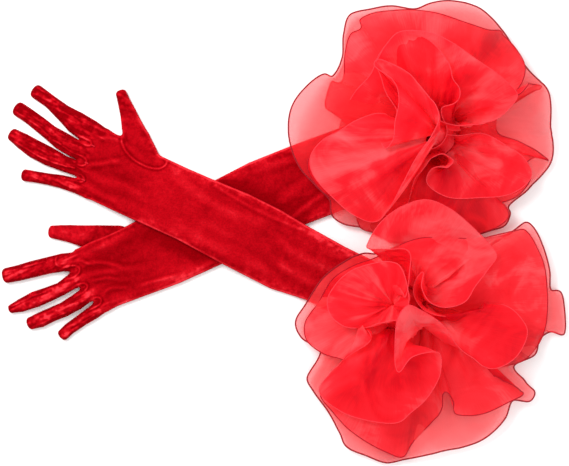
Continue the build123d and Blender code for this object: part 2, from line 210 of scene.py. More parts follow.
# The strips of organza, the lowest first. A strip leaves the tape on a ring, given by its radius and height.
# Its rise and crest shape the curve from there to the hem: the rise is how far it goes up at first, and the
# crest is a share of the way to the hem, and a height above that. The flat cut's width and length are in
# metres and its area is in square metres. A hem line's points are measured from the middle of the mouth.
STRIPS = {
    ("left", "lower"): dict(
        seed=11, sheer=0, ring=(27, 16), rise=6, crest=(0.62, 10), flat=(0.11, 0.87), area=0.055,
        hem=[(127, -28, 6), (124, 10, 10), (121, 47, 4), (100, 70, 10), (80, 101, 6), (72, 110, 8),
             (50, 131, 12), (22, 138, 14), (0, 136, 10), (-15, 131, 6), (-40, 134, 9), (-62, 131, 12),
             (-85, 125, 10), (-92, 105, 6), (-93, 80, 4), (-103, 60, 3), (-112, 61, 8), (-130, 47, 14),
             (-145, 25, 16), (-147, -5, 14), (-135, -35, 12), (-118, -54, 12), (-104, -68, 8),
             (-102, -84, 5), (-92, -92, 4), (-70, -97, 4), (-45, -110, 3), (-10, -114, 3), (30, -110, 3),
             (62, -102, 4), (79, -95, 5), (84, -82, 6), (82, -76, 6), (104, -58, 8)]),
    ("left", "middle"): dict(
        seed=12, ring=(26.5, 21), rise=10, crest=(0.55, 12), flat=(0.1, 1.04), area=0.046,
        hem=[(68, 0, 26), (69, 17, 26), (92, 32, 18), (114, 46, 9), (119, 50, 6), (104, 50, 16),
             (90, 38, 26), (83, 36, 28), (95, 54, 22), (98, 70, 18), (88, 88, 16), (74, 103, 14),
             (71, 107, 16), (60, 107, 20), (40, 113, 24), (18, 121, 26), (0, 126, 26), (-20, 129, 22),
             (-42, 128, 24), (-62, 125, 22), (-75, 118, 18), (-74, 110, 16), (-84, 105, 12), (-90, 84, 12),
             (-94, 56, 10), (-103, 57, 10), (-109, 42, 12), (-110, 27, 14), (-94, 16, 18), (-84, 2, 22),
             (-104, -10, 20), (-124, -20, 18), (-128, -36, 18), (-116, -56, 14), (-100, -68, 12),
             (-80, -82, 12), (-72, -100, 8), (-48, -106, 9), (-20, -108, 10), (10, -108, 9), (40, -105, 8),
             (64, -99, 9), (77, -92, 11), (81, -84, 14), (74, -74, 18), (60, -69, 20), (66, -72, 16),
             (90, -66, 15), (104, -48, 18), (98, -34, 20), (108, -25, 14), (124, -28, 8), (110, -19, 13),
             (92, -11, 20)]),
    ("left", "upper"): dict(
        seed=13, tone=0.5, ring=(26, 25), rise=8, crest=(0.6, 2), flat=(0.07, 0.91), area=0.031, deep=13,
        hem=[(88, 38, 34), (70, 56, 46), (45, 72, 56), (20, 89, 62), (0, 99, 64), (-20, 103, 62),
             (-38, 101, 58), (-51, 88, 56), (-58, 74, 52), (-64, 60, 42), (-80, 42, 30), (-92, 20, 24),
             (-98, -4, 20), (-98, -30, 18), (-84, -60, 16), (-58, -82, 18), (-32, -82, 20), (-18, -62, 28),
             (-16, -44, 38), (-4, -24, 50), (10, -20, 54), (22, -28, 52), (16, -38, 48), (2, -40, 46),
             (-4, -52, 42), (14, -66, 34), (50, -67, 28), (84, -62, 24), (103, -46, 26), (97, -30, 34),
             (76, -14, 40), (50, 0, 38), (26, -2, 42), (8, 2, 50), (3, 8, 56), (12, 5, 58), (26, 3, 58),
             (44, 7, 54), (62, 17, 46)]),
    ("left", "hollow"): dict(
        seed=15, ring=(25.5, 28), rise=4, crest=(0.55, 0), flat=(0.06, 0.33), area=0.0095, deep=5,
        about=(-6, 20), even=0.03, crease=2.2, fine=0.3, shade=0.6, tone=0.34,
        hem=[(8, 24, 56), (20, 26, 56), (28, 32, 56), (27, 42, 58), (18, 60, 60), (8, 78, 61), (-4, 92, 61),
             (-20, 99, 60), (-38, 97, 56), (-50, 86, 54), (-58, 74, 50), (-52, 54, 48), (-44, 34, 46),
             (-34, 10, 44), (-20, -8, 42), (-4, -16, 44), (8, -10, 48), (12, 6, 52)]),
    ("left", "tongue"): dict(
        seed=14, ring=(25, 30), rise=46, crest=(0.5, 12), flat=(0.11, 0.58), area=0.021, deep=4, pinch=-0.8,
        eye=(12, -4), about=(-30, 0), even=0.03, crease=1.4, fine=0.2, tone=0.56, shade=0.2,
        hem=[(4, 12, 80), (1, 24, 80), (-8, 35, 77), (-18, 47, 73), (-27, 58, 68), (-42, 68, 60),
             (-58, 74, 54), (-61, 69, 52), (-49, 57, 56), (-39, 47, 58), (-36, 31, 60), (-40, 10, 60),
             (-42, -8, 58), (-50, -16, 50), (-55, -6, 44), (-53, 8, 42), (-47, 17, 42), (-58, 19, 40),
             (-79, 12, 36), (-95, 3, 34), (-114, -8, 32), (-126, -24, 30), (-124, -42, 28), (-106, -63, 26),
             (-82, -84, 24), (-60, -92, 26), (-46, -78, 40), (-32, -52, 58), (-18, -26, 72), (-4, -6, 80)]),
    ("right", "lower"): dict(
        seed=21, sheer=0, ring=(27, 16), rise=6, crest=(0.62, 10), flat=(0.15, 0.92), area=0.056,
        hem=[(163, 16, 8), (173, 14, 6), (178, -10, 5), (177, -31, 5), (160, -30, 6), (152, -36, 8),
             (146, -52, 9), (124, -64, 9), (136, -80, 9), (146, -91, 8), (141, -100, 7), (122, -99, 8),
             (114, -118, 9), (98, -136, 8), (78, -147, 8), (45, -154, 9), (12, -162, 8), (-8, -166, 8),
             (-30, -158, 7), (-52, -147, 7), (-58, -134, 8), (-70, -112, 8), (-86, -90, 9), (-93, -76, 9),
             (-78, -48, 7), (-98, -33, 10), (-104, -18, 10), (-94, 0, 9), (-74, 30, 10), (-50, 48, 9),
             (-34, 54, 12), (-16, 54, 20), (4, 60, 24), (34, 66, 24), (62, 66, 22), (90, 69, 18),
             (114, 74, 14), (138, 87, 10), (154, 62, 12), (161, 35, 11)]),
    ("right", "middle"): dict(
        seed=22, ring=(26.5, 21), rise=10, crest=(0.55, 11), flat=(0.13, 0.95), area=0.052,
        hem=[(158, 12, 13), (157, -22, 12), (150, -42, 12), (137, -57, 13), (118, -64, 16), (100, -67, 20),
             (112, -76, 18), (134, -92, 12), (118, -100, 16), (92, -112, 20), (74, -114, 22),
             (60, -111, 24), (58, -100, 28), (50, -88, 32), (48, -104, 26), (44, -114, 20), (38, -121, 18),
             (21, -141, 14), (8, -159, 12), (-11, -152, 12), (-34, -139, 12), (-51, -126, 12),
             (-65, -111, 12), (-78, -93, 13), (-74, -80, 16), (-58, -68, 20), (-52, -58, 24),
             (-74, -50, 18), (-92, -36, 14), (-94, -18, 14), (-82, 2, 16), (-66, 28, 18), (-44, 42, 22),
             (-22, 50, 28), (0, 62, 34), (24, 70, 36), (52, 70, 36), (82, 70, 32), (104, 74, 24),
             (124, 78, 17), (135, 79, 14), (150, 54, 14), (156, 34, 13)]),
    ("right", "upper"): dict(
        seed=23, tone=0.44, ring=(26, 25), rise=16, crest=(0.55, 12), flat=(0.08, 1.32), area=0.042,
        deep=13,
        hem=[(80, 21, 44), (94, 38, 38), (104, 52, 36), (94, 66, 40), (76, 84, 44), (54, 101, 47),
             (30, 110, 48), (4, 103, 47), (-18, 86, 46), (-30, 66, 46), (-31, 60, 46), (-10, 59, 52),
             (8, 58, 58), (9, 34, 68), (6, 10, 74), (-2, 20, 66), (-10, 28, 56), (-28, 30, 46),
             (-44, 21, 40), (-50, 6, 36), (-48, -10, 36), (-40, -22, 40), (-30, -26, 46), (-28, -34, 50),
             (-50, -50, 44), (-68, -66, 38), (-80, -88, 30), (-58, -109, 27), (-24, -120, 28),
             (2, -121, 30), (13, -111, 36), (29, -95, 46), (42, -68, 58), (40, -48, 64), (14, -50, 68),
             (0, -66, 62), (-6, -40, 70), (-4, -8, 78), (8, 6, 80), (26, 0, 78), (46, -14, 72),
             (58, -34, 62), (72, -54, 46), (96, -64, 37), (122, -52, 33), (134, -24, 33), (112, 0, 36),
             (90, -6, 38), (64, -10, 42), (40, -8, 48), (24, 0, 52), (16, 14, 54), (18, 28, 56),
             (25, 36, 60), (24, 21, 62), (33, 6, 62), (51, 1, 58), (69, 6, 52)]),
    ("right", "heart"): dict(
        seed=24, ring=(25, 28), rise=40, crest=(0.4, 10), flat=(0.08, 0.26), area=0.0084, deep=3,
        pinch=-1.3, eye=(-4, 2), about=(-28, 8), even=0.03, crease=2.4, fine=0.2, shade=0.12,
        hem=[(8, -6, 72), (9, 12, 75), (7, 30, 72), (0, 43, 66), (-14, 46, 62), (-34, 42, 58),
             (-52, 34, 52), (-64, 22, 46), (-72, 6, 40), (-68, -10, 38), (-54, -20, 38), (-38, -22, 42),
             (-24, -18, 50), (-10, -13, 60), (0, -12, 68)]),
}


# ---------------------------------------------------------------- frames and small tools


def box_centre(node):
    """The middle of a CAD node, in millimetres."""
    low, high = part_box(node)
    return np.array([(a + b) / 2 / MM for a, b in zip(low, high)])


def set_origin(glove):
    """Finds where the glove's own origin lies, from its hem band."""
    turn = math.radians(glove["heading"])
    x, y = glove["mouth"]
    centre = box_centre(f"{glove['name']}_hem_band")
    glove["cos"], glove["sin"] = math.cos(turn), math.sin(turn)
    glove["origin"] = (centre[0] - x * glove["cos"] + y * glove["sin"],
                       centre[1] - x * glove["sin"] - y * glove["cos"])


def to_row(glove, points):
    """Points of a glove's own frame, in millimetres, as metres in the row's frame."""
    points = np.asarray(points, float)
    x, y = points[:, 0], points[:, 1]
    return np.column_stack([
        glove["origin"][0] + x * glove["cos"] - y * glove["sin"],
        glove["origin"][1] + x * glove["sin"] + y * glove["cos"],
        points[:, 2],
    ]) * MM


def to_glove(glove, points):
    """Points of the row's frame, in metres, in a glove's own frame, in millimetres."""
    points = np.asarray(points, float) / MM
    x, y = points[:, 0] - glove["origin"][0], points[:, 1] - glove["origin"][1]
    return np.column_stack([x * glove["cos"] + y * glove["sin"], y * glove["cos"] - x * glove["sin"],
                            points[:, 2]])


def smooth(value):
    """A smooth step from 0 to 1."""
    value = np.clip(value, 0, 1)
    return value * value * (3 - 2 * value)


def between(table, u, v):
    """Smooth values between the entries of a table that repeats both ways."""
    rows, columns = table.shape
    iu, iv = np.floor(u).astype(int), np.floor(v).astype(int)
    tu, tv = smooth(u - iu), smooth(v - iv)
    row, next_row = iu % rows, (iu + 1) % rows
    low, high = (table[row, (iv + k) % columns] * (1 - tu) + table[next_row, (iv + k) % columns] * tu
                 for k in (0, 1))
    return low * (1 - tv) + high * tv


def value_noise(x, y, cell, seed):
    """Smooth noise between -1 and 1 with one random value to each cell."""
    table = np.random.RandomState(seed).rand(64, 64) * 2 - 1
    return between(table.T, y / cell + 1000.0, x / cell + 1000.0)


def loop_noise(u, v, cells, seed):
    """Smooth noise between -1 and 1 that closes round a loop of so many cells."""
    table = np.random.RandomState(seed).rand(cells, 32) * 2 - 1
    return between(table, *np.broadcast_arrays(u * cells, v + 7.3))


def rounded(points, per_span=8):
    """A smooth line through a few control points."""
    p = np.array(points, float)
    p = np.vstack([2 * p[0] - p[1], p, 2 * p[-1] - p[-2]])
    out = []
    for k in range(1, len(p) - 2):
        a, b, c, d = p[k - 1:k + 3]
        for t in np.arange(per_span) / per_span:
            out.append(0.5 * (2 * b + (c - a) * t + (2 * a - 5 * b + 4 * c - d) * t * t
                              + (3 * b - a - 3 * c + d) * t ** 3))
    out.append(p[-2])
    return np.array(out)


def line_distance(x, y, line):
    """Distance from points to a polyline."""
    best = np.full(x.shape, 1e9)
    for (ax, ay), (bx, by) in zip(line[:-1, :2], line[1:, :2]):
        dx, dy = bx - ax, by - ay
        t = np.clip(((x - ax) * dx + (y - ay) * dy) / (dx * dx + dy * dy + 1e-12), 0, 1)
        best = np.minimum(best, np.hypot(x - ax - t * dx, y - ay - t * dy))
    return best


# ---------------------------------------------------------------- plan shape of a glove


def chain_field(x, y, stations):
    """Signed distance to a tapered finger, negative inside, and its half width at the nearest place."""
    best = np.full(x.shape, 1e9)
    width = np.zeros(x.shape)
    tip, second = np.array(stations[0][:2]), np.array(stations[1][:2])
    radius = stations[0][2]
    out = (tip - second) / np.linalg.norm(tip - second)
    tip = tip + out * radius * TIP_CUT  # the tip is drawn out and cut off, so that it is blunt
    stations = [(tip[0], tip[1], radius), *stations[1:]]
    for (ax, ay, ar), (bx, by, br) in zip(stations, stations[1:]):
        dx, dy = bx - ax, by - ay
        t = np.clip(((x - ax) * dx + (y - ay) * dy) / (dx * dx + dy * dy), 0, 1)
        r = ar + t * (br - ar)
        d = np.hypot(x - ax - t * dx, y - ay - t * dy) - r
        width = np.where(d < best, r, width)
        best = np.minimum(best, d)
    beyond = (x - tip[0]) * out[0] + (y - tip[1]) * out[1] - radius * (1 - TIP_CUT)
    return -join(-best, -beyond, TIP_BLEND), width


def polygon_field(x, y, points):
    """Signed distance to a closed polygon, negative inside."""
    closed = np.array(points + points[:1], float)
    inside = np.zeros(x.shape, bool)
    for (ax, ay), (bx, by) in zip(closed[:-1], closed[1:]):
        crosses = (ay > y) != (by > y)
        inside ^= crosses & (x < (bx - ax) * (y - ay) / (by - ay + 1e-12) + ax)
    return np.where(inside, -1, 1) * line_distance(x, y, closed)


def join(a, b, blend):
    """The union of two fields with a rounded inner corner."""
    h = np.maximum(blend - np.abs(a - b), 0) / blend
    return np.minimum(a, b) - h * h * blend / 4


def fingers_field(x, y, glove):
    """The joined field of the fingers, the nearest half width, and which finger is nearest."""
    fields, widths = [], []
    for stations in glove["fingers"].values():
        d, w = chain_field(x, y, stations)
        fields.append(d)
        widths.append(w)
    fields, widths = np.array(fields), np.array(widths)
    nearest = fields.argmin(0)
    return fields.min(0), np.take_along_axis(widths, nearest[None], 0)[0], nearest


def glove_field(x, y, glove, with_thumb):
    """Signed distance to the glove's plan outline, and how far in its edge is rounded."""
    fingers, width, _ = fingers_field(x, y, glove)
    hand = polygon_field(x, y, glove["outline"])
    mouth_x, mouth_y = glove["mouth"]
    hand = np.minimum(hand, np.hypot(x - mouth_x, y - mouth_y) - MOUTH_REACH)
    field = join(fingers, hand, CROTCH_BLEND)
    share = smooth((fingers - hand + 4) / 8)  # 0 on a finger, 1 on the hand
    reach = np.minimum(EDGE_ROUND, width * FINGER_ROUND) * (1 - share) + EDGE_ROUND * share
    if with_thumb:
        thumb, thumb_width = chain_field(x, y, glove["thumb"])
        field = join(field, thumb, CROTCH_BLEND)
        reach = np.where(thumb < hand, np.minimum(EDGE_ROUND, thumb_width * FINGER_ROUND), reach)
    return field, reach


# ---------------------------------------------------------------- sheets of grid cells fitted to an outline


def fitted_grid(field_at, low, high, spacing):
    """A grid of cells inside an outline, with its outer rows moved onto it.

    Returns the points, the cells as four indexes each, and which points lie on the outline."""
    nx, ny = (int((b - a) / spacing) + 2 for a, b in zip(low, high))
    gx, gy = np.meshgrid(low[0] + np.arange(nx) * spacing, low[1] + np.arange(ny) * spacing, indexing="ij")
    centre = field_at(gx[:-1, :-1] + spacing / 2, gy[:-1, :-1] + spacing / 2)
    kept = centre < 0
    # a cell joined to the rest by one corner only would leave a pinched point
    for _ in range(2):
        n = np.pad(kept, 1)
        beside = (n[:-2, 1:-1].astype(int) + n[2:, 1:-1] + n[1:-1, :-2] + n[1:-1, 2:])
        kept &= beside >= 2
    number = np.arange(nx * ny).reshape(nx, ny)
    cells = np.stack([number[:-1, :-1], number[1:, :-1], number[1:, 1:], number[:-1, 1:]], -1)[kept]
    uses = np.bincount(cells.ravel(), minlength=nx * ny).reshape(nx, ny)
    ring = np.where(uses == 0, -1, np.where(uses < 4, 0, 99))
    for k in (1, 2, 3):
        p = np.pad(ring, 1, constant_values=99)
        near = np.minimum.reduce([p[:-2, 1:-1], p[2:, 1:-1], p[1:-1, :-2], p[1:-1, 2:],
                                  p[:-2, :-2], p[2:, 2:], p[:-2, 2:], p[2:, :-2]])
        ring = np.where((ring == 99) & (near == k - 1), k, ring)
    x, y = gx.ravel().copy(), gy.ravel().copy()
    ring = ring.ravel()
    for k, depth in ((0, 0.0), (1, 0.35), (2, 1.1)):
        pick = np.where(ring == k)[0]
        for _ in range(4):
            step = 0.02
            f = field_at(x[pick], y[pick])
            fx = (field_at(x[pick] + step, y[pick]) - f) / step
            fy = (field_at(x[pick], y[pick] + step) - f) / step
            size = np.maximum(fx * fx + fy * fy, 0.3)
            move = f + depth
            if k == 2:
                move = move * 0.5
            x[pick] -= move * fx / size
            y[pick] -= move * fy / size
    used, cells = only_used(cells, nx * ny)
    return np.column_stack([x[used], y[used]]), cells, ring[used] == 0


def only_used(faces, count):
    """Which of so many points the faces use, and the faces numbered by those points alone."""
    used = np.unique(faces)
    renumber = np.full(count, -1)
    renumber[used] = np.arange(len(used))
    return used, renumber[faces]


def two_sided(cells, edge):
    """Faces of an upper and a lower sheet that share their edge points.

    Returns the faces and, for each lower point, the upper point it lies under."""
    under = np.where(edge)[0]
    inner = np.where(~edge)[0]
    lower_index = np.arange(len(edge))
    lower_index[inner] = len(edge) + np.arange(len(inner))
    lower_index[under] = under
    return np.vstack([cells, lower_index[cells[:, ::-1]]]), inner


def add_object(name, data):
    """A new object in the scene."""
    obj = bpy.data.objects.new(name, data)
    bpy.context.scene.collection.objects.link(obj)
    return obj


def closed_cloth(glove, flat, cells, edge, rim, top, bottom, tone):
    """Points, faces and tone of a glove's upper and lower sides, which meet at the height of the rim."""
    faces, inner = two_sided(cells, edge)
    upper = np.column_stack([flat, np.where(edge, rim, top)])
    lower = np.column_stack([flat, bottom])[inner]
    points = to_row(glove, np.vstack([upper, lower]))
    return points, faces, np.concatenate([tone, UNDERSIDE_TONE * tone[inner]])


def loop_faces(count, rows, tube=False):
    """Faces of rows of points that run round a loop; in a tube the last row meets the first."""
    here = np.arange(count * rows).reshape(count, rows)
    if tube:
        here = np.column_stack([here, here[:, 0]])
    ahead = np.roll(here, -1, 0)
    return np.stack([here[:, :-1], ahead[:, :-1], ahead[:, 1:], here[:, 1:]], -1).reshape(-1, 4)


def make_mesh(name, points, faces, mat, uv=None, tone=None):
    """A smooth-shaded mesh object, in metres, with its cloth coordinates or its tone."""
    used, faces = only_used(faces, len(points))
    mesh = bpy.data.meshes.new(name)
    mesh.from_pydata(points[used].tolist(), [], faces.tolist())
    mesh.validate()
    mesh.polygons.foreach_set("use_smooth", [True] * len(mesh.polygons))
    if uv is not None:
        layer = mesh.uv_layers.new(name="cloth")
        corner = np.zeros(len(mesh.loops), np.int32)
        mesh.loops.foreach_get("vertex_index", corner)
        layer.data.foreach_set("uv", uv[used][corner].astype(np.float32).ravel())
    if tone is not None:
        layer = mesh.attributes.new("tone", "FLOAT", "POINT")
        layer.data.foreach_set("value", tone[used].astype(np.float32))
    mesh.materials.append(mat)
    return add_object(name, mesh)


# ---------------------------------------------------------------- heights


def crossing_lift(x, y):
    """How far the right sleeve is raised where it crosses the left one, in the right glove's frame."""
    turn = math.radians(LEFT["heading"] - RIGHT["heading"])
    off_axis = np.abs(-x * math.sin(turn) + y * math.cos(turn))
    return CROSS_LIFT * smooth((CROSS_END - off_axis) / (CROSS_END - CROSS_TOP))


def under_lift(x, y):
    """How far the left hand is raised where its thumb lies under it, in the left glove's frame."""
    thumb, _ = chain_field(x, y, LEFT["thumb"])
    return THUMB_LIFT * smooth((6 - thumb) / 14) * smooth((-100 - x) / 18)


def relief(x, y, name):
    """Seams and folds of the upper side: their height, and the tone painted on them: painted highlights on
    the seams' ridges and the folds' crests, and painted shade in the grooves and hollows beside them.
    """
    z, tone = np.zeros(x.shape), np.zeros(x.shape)
    for points, height, half in SEAMS[name]:
        d = line_distance(x, y, rounded(points))
        ridge = np.exp(-(d / half) ** 2) - 0.55 * np.exp(-((d - 2.0 * half) / half) ** 2)
        z += 1.5 * height * ridge
        # painted light: a highlight along the seam's ridge, and painted shade in the grooves either side of
        # it and in a band round it
        tone += 1.8 * height * ridge - 0.25 * np.exp(-(d / 4.0) ** 2)
    for points, height, half in FOLDS[name]:
        line = rounded(points)
        d = line_distance(x, y, line)
        ends = np.minimum(*(np.hypot(x - end[0], y - end[1]) for end in (line[0], line[-1])))
        fold = height * np.exp(-(d / half) ** 2) * smooth(ends / 9)
        z += 1.5 * fold
        # painted light: the fold's crest is lighter, and painted shade darkens the cloth beside it
        tone += 0.62 * fold - 0.36 * height * np.exp(-((d - 1.7 * half) / half) ** 2) * smooth(ends / 9)
    seed = SEED + len(name)
    z += 0.75 * value_noise(x, y * 1.8, 34, seed) + 0.3 * value_noise(x, y, 13, seed + 1)
    z += 0.12 * value_noise(x * 1.3, y, 5, seed + 2)
    return z, tone


def finger_relief(x, y, glove, width, field):
    """Creases and stretch lines of the fingers, and their tone: streaks along them and a painted highlight
    along each finger's crown.
    """
    seed = SEED + 20 + len(glove["name"])
    along = value_noise(x * 0.5, y * 3.2, 7, seed) + 0.6 * value_noise(x * 0.6, y * 3, 3.6, seed + 1)
    across = np.abs(value_noise(x * 2.2, y * 0.7, 9, seed + 2))
    # a painted highlight along the top of each finger
    crown_highlight = np.exp(-((width + field) / (0.45 * width + 0.1)) ** 2)
    return 0.55 * along - 0.5 * np.exp(-(across / 0.16) ** 2), 1.0 * along + 0.8 * crown_highlight - 0.55


def puff_of(field, reach):
    """How round the cloth stands, from 0 at its edge to 1 where it is fully raised."""
    depth = np.clip(-field / reach, 0, 1)
    return np.sqrt(1 - (1 - depth) ** 2)


def welt_of(field):
    """The side seam, a fine line along the edge; the tone also uses it for painted light and shade along the
    edge.
    """
    return np.exp(-((-field - 1.2) / 0.75) ** 2)


def speckle_of(x, y, seed):
    """Small light and dark spots of the pile."""
    return value_noise(x, y, 2.6, seed) + 0.7 * value_noise(x, y, 5.5, seed + 1)


def glove_heights(x, y, glove, field, reach):
    """Upper and lower heights of the cloth, and the tone of its upper side, with its painted light and shade.
    """
    puff = puff_of(field, np.maximum(reach, 1.0))
    fingers, width, _ = fingers_field(x, y, glove)
    hand = polygon_field(x, y, glove["outline"])
    on_hand = smooth((fingers - hand + 8) / 16)
    full = FINGER_THICK * (1 - on_hand) * np.clip(width / 8.5, 0.7, 1.0) + SLEEVE_THICK * on_hand
    inner = smooth((-field - 0.6) / 3.0)
    z, tone = relief(x, y, glove["name"])
    finger_z, finger_tone = finger_relief(x, y, glove, width, field)
    z += finger_z * (1 - on_hand)
    welt = welt_of(field)
    top = EDGE_HEIGHT + (full - EDGE_HEIGHT) * puff + z * inner + 0.35 * welt
    seed = SEED + 30 + len(glove["name"])
    margin = np.exp(-((-field - 4) / 4.5) ** 2)
    painted_core_shade = 0.12 if glove["name"] == "right" else 0.34  # painted shade: how much darker the cloth is away from its edges
    speckle = speckle_of(x, y, seed) * (1 + 0.5 * smooth((x - 30) / 70))
    streaks = value_noise(x * 0.35, y * 1.5, 11, seed + 2) + 0.6 * value_noise(x * 0.5, y * 2, 6, seed + 3)
    # painted light along the edge: the side seam is painted as a light line on the sleeve and a dark line on
    # the fingers, and painted shade darkens the middle of the cloth
    tone = (tone * inner + finger_tone * (1 - on_hand) + (1.6 * on_hand - 0.5) * welt
            - painted_core_shade * smooth((-field - 8) / 12))
    tone -= 0.3 * smooth((-60 - x) / 50)  # the hands look darker than the sleeves
    # the pile's random speckle, stronger near the edges, and a painted sheen that lightens the band along the
    # edges
    tone += (0.12 + 0.25 * margin + 0.3 * (1 - on_hand)) * speckle * smooth(-field / 2) + 0.14 * margin
    tone += (0.16 + 0.45 * margin) * streaks * on_hand
    if glove["name"] == "left":  # its fingers are lighter, and a painted shadow darkens it beside the sleeve that lies over it
        tone += 0.34 * (1 - on_hand) * smooth((-field - 1.5) / 3)
        # painted shadow of the right sleeve, which lies over this glove
        over = to_glove(RIGHT, to_row(glove, np.column_stack([x, y, 0 * x])))
        beside = np.maximum(np.abs(over[:, 1] - 1) - 38, 0)
        tone -= 0.9 * np.exp(-(beside / 13) ** 2) * on_hand
    bottom = EDGE_HEIGHT * (1 - puff) + OFF_TABLE
    return np.maximum(top, bottom + 0.8 * puff), bottom, tone


# ---------------------------------------------------------------- materials


def feed(slot, value):
    """Sets a node's input to a value, or links it to another node's output."""
    if isinstance(value, bpy.types.NodeSocket):
        slot.id_data.links.new(value, slot)
    else:
        slot.default_value = value


def set_inputs(node, **values):
    """Sets or links a node's inputs by name, and returns the node."""
    for key, value in values.items():
        feed(node.inputs[key.replace("_", " ")], value)
    return node


def new_material(name):
    """A new material, its node tree and its surface shader."""
    mat = bpy.data.materials.new(name)
    mat.use_nodes = True
    return mat, mat.node_tree, mat.node_tree.nodes["Principled BSDF"]


def noise_of(tree, place, **values):
    """Values of a noise texture at a place."""
    return set_inputs(tree.nodes.new("ShaderNodeTexNoise"), Vector=place, **values).outputs["Fac"]


def math_of(tree, operation, *terms):
    """The result of a math node on sockets and numbers."""
    node = tree.nodes.new("ShaderNodeMath")
    node.operation = operation
    for slot, term in zip(node.inputs, terms):
        feed(slot, term)
    return node.outputs["Value"]


def drawn_tone(tree):
    """The tone that a mesh carries at each point, painted light and shade included."""
    node = tree.nodes.new("ShaderNodeAttribute")
    node.attribute_name = "tone"
    return node.outputs["Fac"]


def bump_of(tree, distance, **values):
    """The normal that a bump node of half strength gives."""
    node = set_inputs(tree.nodes.new("ShaderNodeBump"), Strength=0.5, Distance=distance, **values)
    return node.outputs["Normal"]


def ramp(tree, fac, stops):
    """A colour ramp fed by a value."""
    node = tree.nodes.new("ShaderNodeValToRGB")
    while len(node.color_ramp.elements) < len(stops):
        node.color_ramp.elements.new(0.5)
    for element, (place, colour) in zip(node.color_ramp.elements, stops):
        element.position = place
        element.color = (*colour, 1)
    return set_inputs(node, Fac=fac).outputs["Color"]


def velvet():
    """Deep red stretch velvet: patches of nap that lie different ways, a fine pile, and the painted light and
    shade that the gloves carry in their tone.
    """
    mat, tree, surface = new_material("red_velvet")
    place = tree.nodes.new("ShaderNodeTexCoord").outputs["Object"]
    patches = noise_of(tree, place, Scale=34.0, Detail=4.0, Roughness=0.62, Distortion=0.8)
    pile = noise_of(tree, place, Scale=560.0, Detail=2.0, Roughness=0.7)
    grain = noise_of(tree, place, Scale=1700.0, Detail=1.0)
    soft_patches = math_of(tree, "MULTIPLY_ADD", patches, 0.34, 0.33)
    # the tone holds painted highlights and painted shade as well as the pile's random tone; the lightest stop
    # colours the painted highlights
    shade = math_of(tree, "MULTIPLY_ADD", drawn_tone(tree), 0.26, soft_patches)
    colour = ramp(tree, shade, [
        (0.24, (0.225, 0.000, 0.0020)),
        (0.46, (0.395, 0.0015, 0.0055)),
        (0.60, (0.500, 0.004, 0.0100)),
        (0.84, (0.840, 0.030, 0.0450)),
    ])
    speck = ramp(tree, pile, [(0.35, (0.82, 0.82, 0.82)), (0.64, (1.12, 1.12, 1.12))])
    mix = tree.nodes.new("ShaderNodeMix")
    mix.data_type = "RGBA"
    mix.blend_type = "MULTIPLY"
    set_inputs(mix, Factor=1.0, A=colour, B=speck)
    normal = bump_of(tree, 0.0003, Height=grain, Normal=bump_of(tree, 0.0012, Height=patches))
    set_inputs(surface, Base_Color=mix.outputs["Result"], Normal=normal, Roughness=0.7,
               Specular_IOR_Level=0.06, Specular_Tint=(1.0, 0.03, 0.06, 1),
               Sheen_Weight=0.4, Sheen_Roughness=0.3, Sheen_Tint=(1.0, 0.02, 0.04, 1))
    return mat


def organza(name, alpha, stops):
    """Sheer crisp organza, with slubs along its threads, painted sheen in soft swirling streaks, and the
    painted light and shade that its strips carry in their tone.
    """
    mat, tree, surface = new_material(name)
    cloth = tree.nodes.new("ShaderNodeUVMap")
    cloth.uv_map = "cloth"
    stretch = set_inputs(tree.nodes.new("ShaderNodeMapping"), Vector=cloth.outputs["UV"],
                         Scale=(900.0, 60.0, 1.0))
    slubs = noise_of(tree, stretch.outputs["Vector"], Scale=1.0, Detail=2.0)
    slubbed = math_of(tree, "MULTIPLY_ADD", slubs, 0.22, drawn_tone(tree))
    place = tree.nodes.new("ShaderNodeTexCoord").outputs["Object"]
    # painted sheen: soft swirling streaks that stand in for the satin highlights of the folds
    painted_sheen_swirl = noise_of(tree, place, Scale=17.0, Detail=3.0, Roughness=0.5, Distortion=2.4)
    painted_sheen_and_tone = math_of(tree, "MULTIPLY_ADD", math_of(tree, "SUBTRACT", painted_sheen_swirl, 0.5), 0.9, slubbed)
    shade = ramp(tree, painted_sheen_and_tone, stops)
    set_inputs(surface, Base_Color=shade, Roughness=0.44, Specular_IOR_Level=0.3,
               Specular_Tint=(1.0, 0.24, 0.28, 1), Sheen_Weight=0.2, Sheen_Roughness=0.3,
               Sheen_Tint=(1.0, 0.2, 0.22, 1))
    through = set_inputs(tree.nodes.new("ShaderNodeBsdfTranslucent"), Color=shade)
    lit = blended_shaders(tree, 0.35, surface.outputs["BSDF"], through.outputs["BSDF"])
    clear = tree.nodes.new("ShaderNodeBsdfTransparent").outputs["BSDF"]
    set_inputs(tree.nodes["Material Output"], Surface=blended_shaders(tree, alpha, clear, lit))
    return mat


def blended_shaders(tree, share, first, second):
    """A mix of two shaders with a fixed share of the second."""
    node = tree.nodes.new("ShaderNodeMixShader")
    for slot, value in zip(node.inputs, (share, first, second)):
        feed(slot, value)
    return node.outputs["Shader"]


